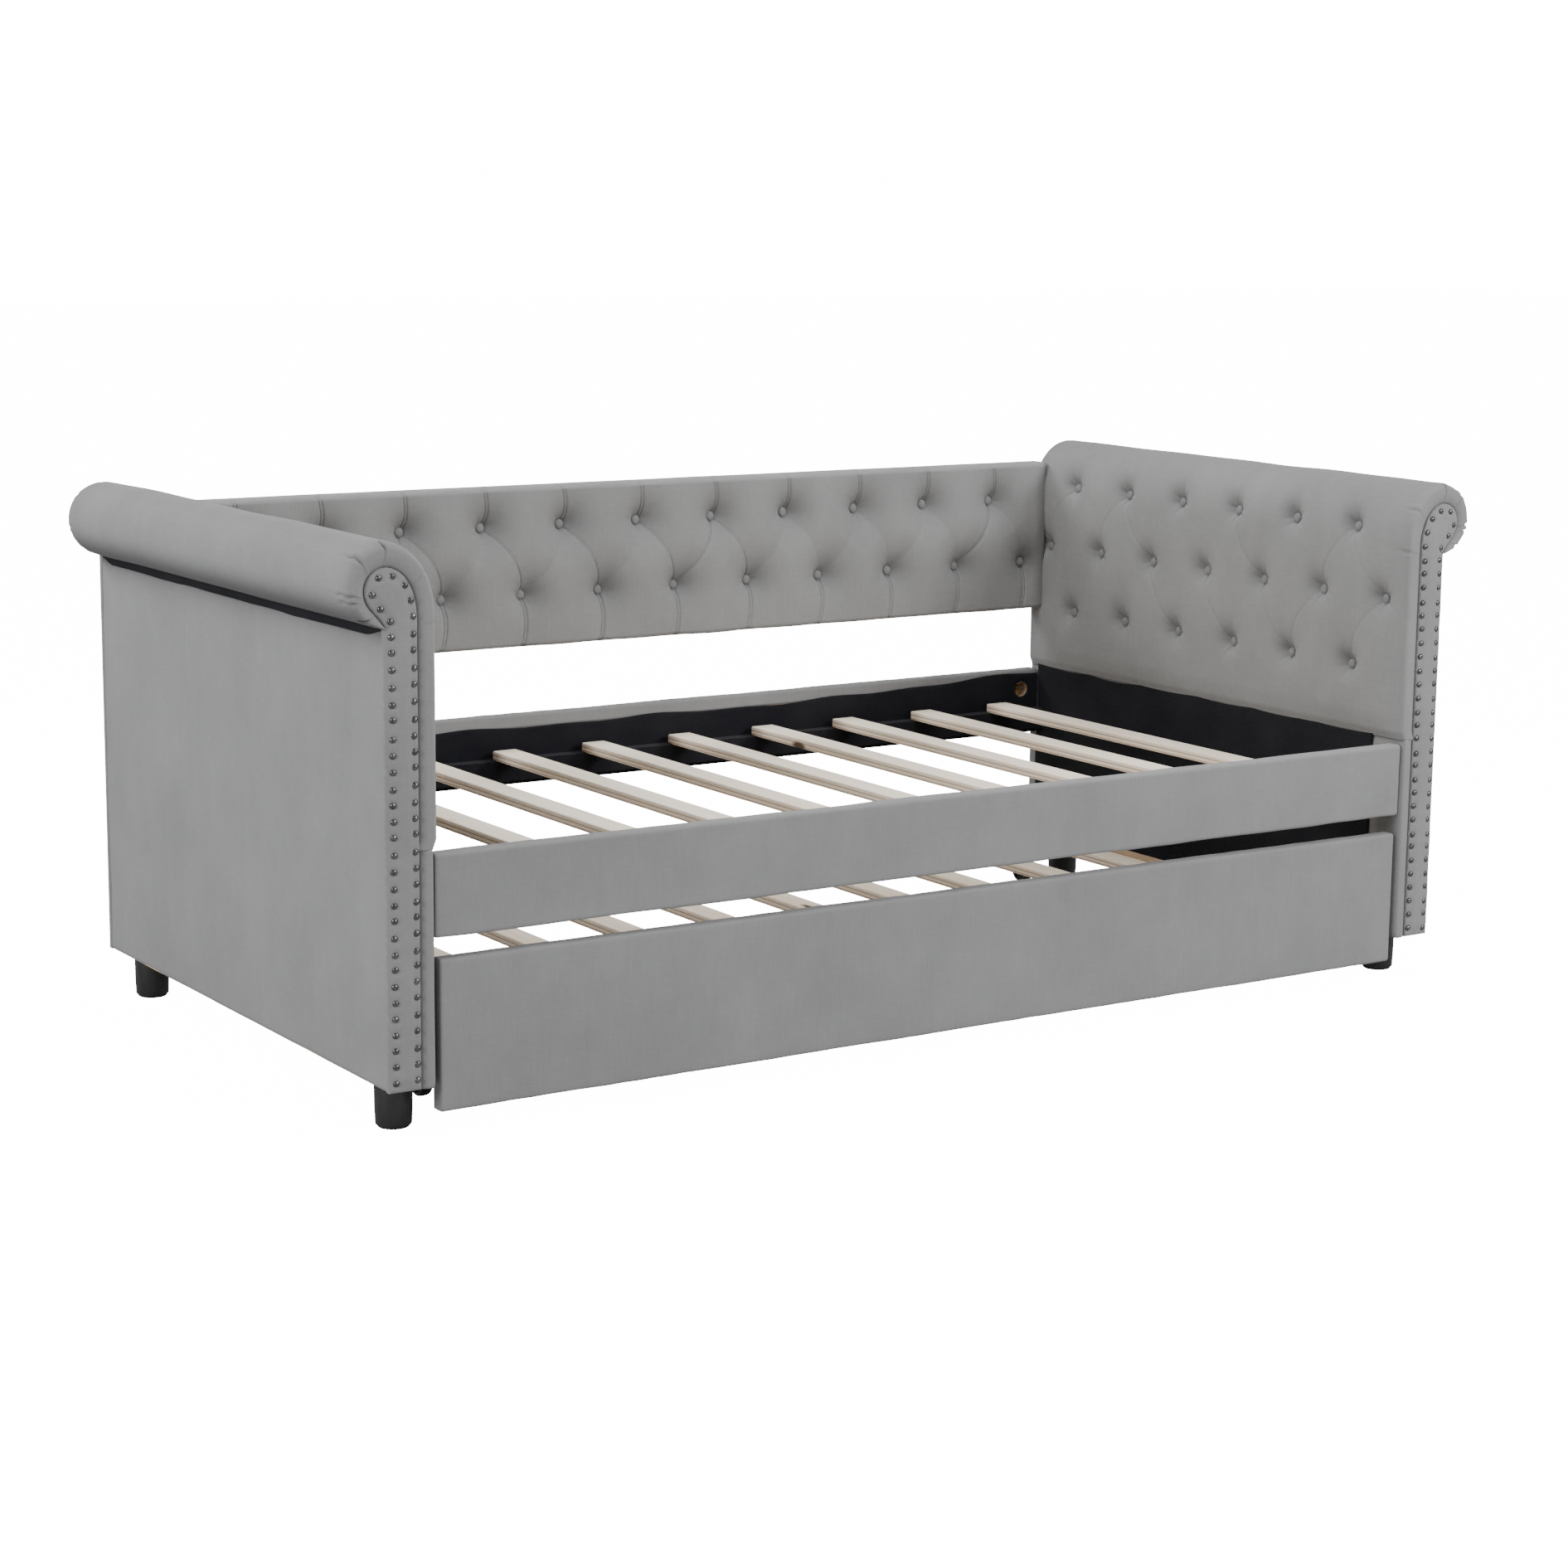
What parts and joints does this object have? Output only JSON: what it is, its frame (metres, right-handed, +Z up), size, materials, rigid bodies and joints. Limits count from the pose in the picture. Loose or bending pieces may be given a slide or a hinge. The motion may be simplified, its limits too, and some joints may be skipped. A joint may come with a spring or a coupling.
{
  "type": "daybed",
  "caption": "Upholstered daybed with scrolled, button-tufted arms, a tufted back panel, wooden slats and a slatted trundle that rolls out from underneath on casters.",
  "frame": {"origin": "on the floor under the middle of the daybed", "axes": "+X along the length, -Y is the open front that the trundle comes out of, +Z up"},
  "size_m": [2.242, 1.124, 0.908],
  "materials": {
    "velvet": "matte grey velvet",
    "black_cloth": "non-woven dust cloth",
    "frame_wood": "raw softwood and plywood",
    "slat_wood": "planed pine",
    "antique_nail": "antique pewter",
    "steel": "zinc plated",
    "brass": "dull brass",
    "leg_black": "satin black",
    "caster_black": "moulded black",
    "bracket_steel": "black painted steel"
  },
  "bodies": {
    "frame": {"arm_left_buttons": "velvet", "arm_left_facing": "velvet", "arm_left_frame": "frame_wood", "arm_left_inner_cover": "velvet", "arm_left_lining": "black_cloth", "arm_left_nails": "antique_nail", "arm_left_outer_cover": "velvet", "arm_left_pad": "velvet", "arm_left_roll_core": "frame_wood", "arm_right_buttons": "velvet", "arm_right_facing": "velvet", "arm_right_frame": "frame_wood", "arm_right_inner_cover": "velvet", "arm_right_lining": "black_cloth", "arm_right_nails": "antique_nail", "arm_right_outer_cover": "velvet", "arm_right_pad": "velvet", "arm_right_roll_core": "frame_wood", "back_board": "frame_wood", "back_bolts": "steel", "back_buttons": "velvet", "back_pad": "velvet", "back_rear_cover": "velvet", "leg_back_left": "leg_black", "leg_back_right": "leg_black", "leg_front_left": "leg_black", "leg_front_right": "leg_black", "leg_studs": "steel", "rail_back_board": "frame_wood", "rail_back_cover": "velvet", "rail_back_ledger": "black_cloth", "rail_back_lining": "black_cloth", "rail_bolts": "steel", "rail_front_board": "frame_wood", "rail_front_cover": "velvet", "rail_front_ledger": "frame_wood", "rail_nuts": "brass", "slat_01": "slat_wood", "slat_02": "slat_wood", "slat_03": "slat_wood", "slat_04": "slat_wood", "slat_05": "slat_wood", "slat_06": "slat_wood", "slat_07": "slat_wood", "slat_08": "slat_wood", "slat_09": "slat_wood", "slat_10": "slat_wood"},
    "trundle": {"caster_axles": "steel", "caster_brackets": "bracket_steel", "trundle_front_board": "frame_wood", "trundle_front_cover": "velvet", "trundle_ledgers": "frame_wood", "trundle_rail_back": "frame_wood", "trundle_rail_left": "frame_wood", "trundle_rail_right": "frame_wood", "trundle_slats": "slat_wood"},
    "caster_wheel_back_left_body": {"caster_wheel_back_left": "caster_black"},
    "caster_wheel_back_right_body": {"caster_wheel_back_right": "caster_black"},
    "caster_wheel_front_left_body": {"caster_wheel_front_left": "caster_black"},
    "caster_wheel_front_right_body": {"caster_wheel_front_right": "caster_black"}
  },
  "joints": [
    {"name": "trundle_slide", "type": "slide", "parent": "frame", "child": "trundle", "axis": [0, -1, 0], "range_m": [0, 1.05]},
    {"name": "caster_roll_back_left", "type": "hinge", "parent": "trundle", "child": "caster_wheel_back_left_body", "pos_m": [-0.905, 0.468, 0.025], "axis": [1, 0, 0], "continuous": true},
    {"name": "caster_roll_back_right", "type": "hinge", "parent": "trundle", "child": "caster_wheel_back_right_body", "pos_m": [0.905, 0.468, 0.025], "axis": [1, 0, 0], "continuous": true},
    {"name": "caster_roll_front_left", "type": "hinge", "parent": "trundle", "child": "caster_wheel_front_left_body", "pos_m": [-0.905, -0.349, 0.025], "axis": [1, 0, 0], "continuous": true},
    {"name": "caster_roll_front_right", "type": "hinge", "parent": "trundle", "child": "caster_wheel_front_right_body", "pos_m": [0.905, -0.349, 0.025], "axis": [1, 0, 0], "continuous": true}
  ],
  "couplings": [
    {"joint": "caster_roll_back_left", "follows": "trundle_slide", "rad_per_m": 40},
    {"joint": "caster_roll_back_right", "follows": "trundle_slide", "rad_per_m": 40},
    {"joint": "caster_roll_front_left", "follows": "trundle_slide", "rad_per_m": 40},
    {"joint": "caster_roll_front_right", "follows": "trundle_slide", "rad_per_m": 40}
  ]
}
